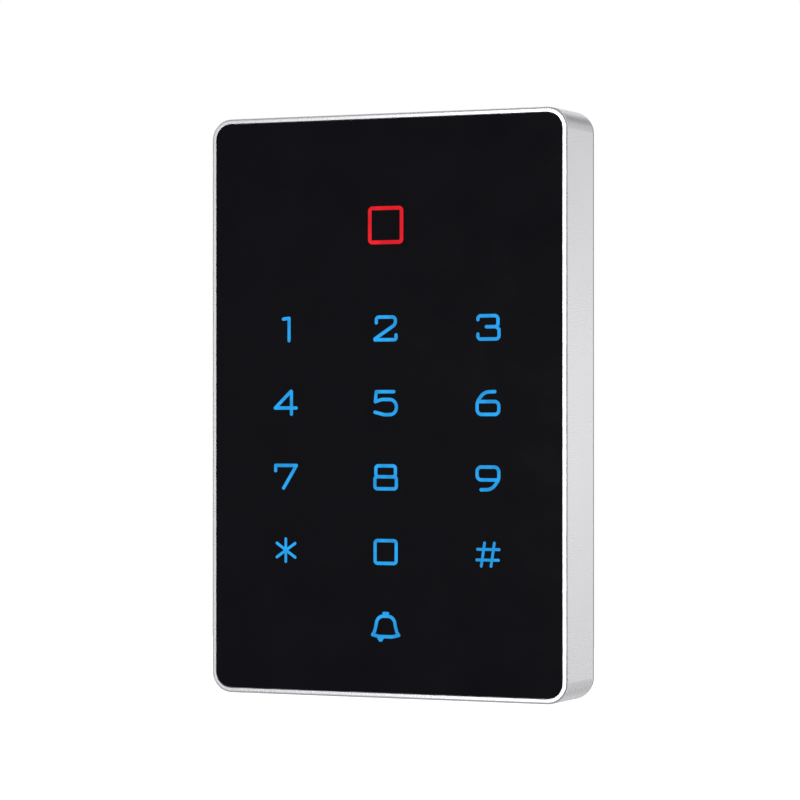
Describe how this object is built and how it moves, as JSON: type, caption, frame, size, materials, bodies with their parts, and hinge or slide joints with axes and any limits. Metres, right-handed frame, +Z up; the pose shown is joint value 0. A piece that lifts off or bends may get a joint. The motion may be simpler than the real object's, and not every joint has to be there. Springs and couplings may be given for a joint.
{
  "type": "keypad access reader",
  "caption": "Slim wall-mounted access reader: satin metal frame, flush black touch panel with lit keypad legends, lit status square and bell, on a steel bracket.",
  "frame": {"origin": "centre of the wall face, on the rear plane of the bracket", "axes": "+Z up the wall, +Y into the wall, the panel faces -Y, +X to the right seen from the front"},
  "size_m": [0.08, 0.0156, 0.12],
  "materials": {
    "frame_silver": "satin painted die casting",
    "panel_black": "high gloss black",
    "legend_blue": "lit blue window",
    "status_red": "lit red window",
    "adhesive": "foam tape",
    "film_white": "milky film",
    "mask_plastic": "matt moulded",
    "board_green": "solder mask",
    "copper": "plated copper",
    "lamp_blue": "clear resin on white",
    "chip_black": "moulded epoxy",
    "can_metal": "plain can",
    "ferrite": "ferrite",
    "relay_plastic": "moulded",
    "header_plastic": "natural nylon",
    "pin_metal": "tinned",
    "ceramic": "fired ceramic",
    "resistor_black": "glazed",
    "screw_steel": "zinc plated",
    "cover_plastic": "fine spark texture",
    "seal_rubber": "soft silicone",
    "gasket_grey": "soft grey silicone",
    "label_silver": "blank polyester",
    "bracket_steel": "zinc plated sheet",
    "plunger_plastic": "natural acetal"
  },
  "bodies": {
    "bracket": {"wall_bracket": "bracket_steel", "clinch_nut": "screw_steel"},
    "reader": {"antenna_coil": "copper", "board_screws": "screw_steel", "bulk_capacitors": "can_metal", "buzzer": "relay_plastic", "chip_capacitors": "ceramic", "chip_resistors": "resistor_black", "crystal": "can_metal", "diffuser_film": "film_white", "diodes": "chip_black", "harness_header": "header_plastic", "header_pins": "pin_metal", "housing_frame": "frame_silver", "key_lamps": "lamp_blue", "legend_0": "legend_blue", "legend_1": "legend_blue", "legend_2": "legend_blue", "legend_3": "legend_blue", "legend_4": "legend_blue", "legend_5": "legend_blue", "legend_6": "legend_blue", "legend_7": "legend_blue", "legend_8": "legend_blue", "legend_9": "legend_blue", "legend_bell": "legend_blue", "legend_hash": "legend_blue", "legend_star": "legend_blue", "light_mask": "mask_plastic", "lock_relay": "relay_plastic", "main_board": "board_green", "memory_chip": "chip_black", "microcontroller": "chip_black", "panel_adhesive": "adhesive", "power_inductor": "ferrite", "rating_label": "label_silver", "rear_cover": "cover_plastic", "rear_cover_screws": "screw_steel", "rear_cover_seal": "seal_rubber", "rear_gasket": "gasket_grey", "rfid_chip": "chip_black", "status_lamp": "lamp_blue", "status_square": "status_red", "tamper_switch": "relay_plastic", "touch_controller": "chip_black", "touch_electrodes": "copper", "touch_panel": "panel_black", "voltage_regulator": "chip_black"},
    "security_screw": {"security_screw": "screw_steel"},
    "tamper_plunger": {"tamper_plunger": "plunger_plastic"}
  },
  "joints": [
    {"name": "reader_tilt", "type": "hinge", "parent": "bracket", "child": "reader", "pos_m": [0, 0, 0.0594], "axis": [-1, 0, 0], "range_deg": [0, 15]},
    {"name": "security_screw_travel", "type": "slide", "parent": "bracket", "child": "security_screw", "axis": [0, 0, -1], "range_m": [0, 0.0045]},
    {"name": "tamper_press", "type": "slide", "parent": "reader", "child": "tamper_plunger", "axis": [0, -1, 0], "range_m": [0, 0.001], "stiffness_N_per_m": 400}
  ]
}
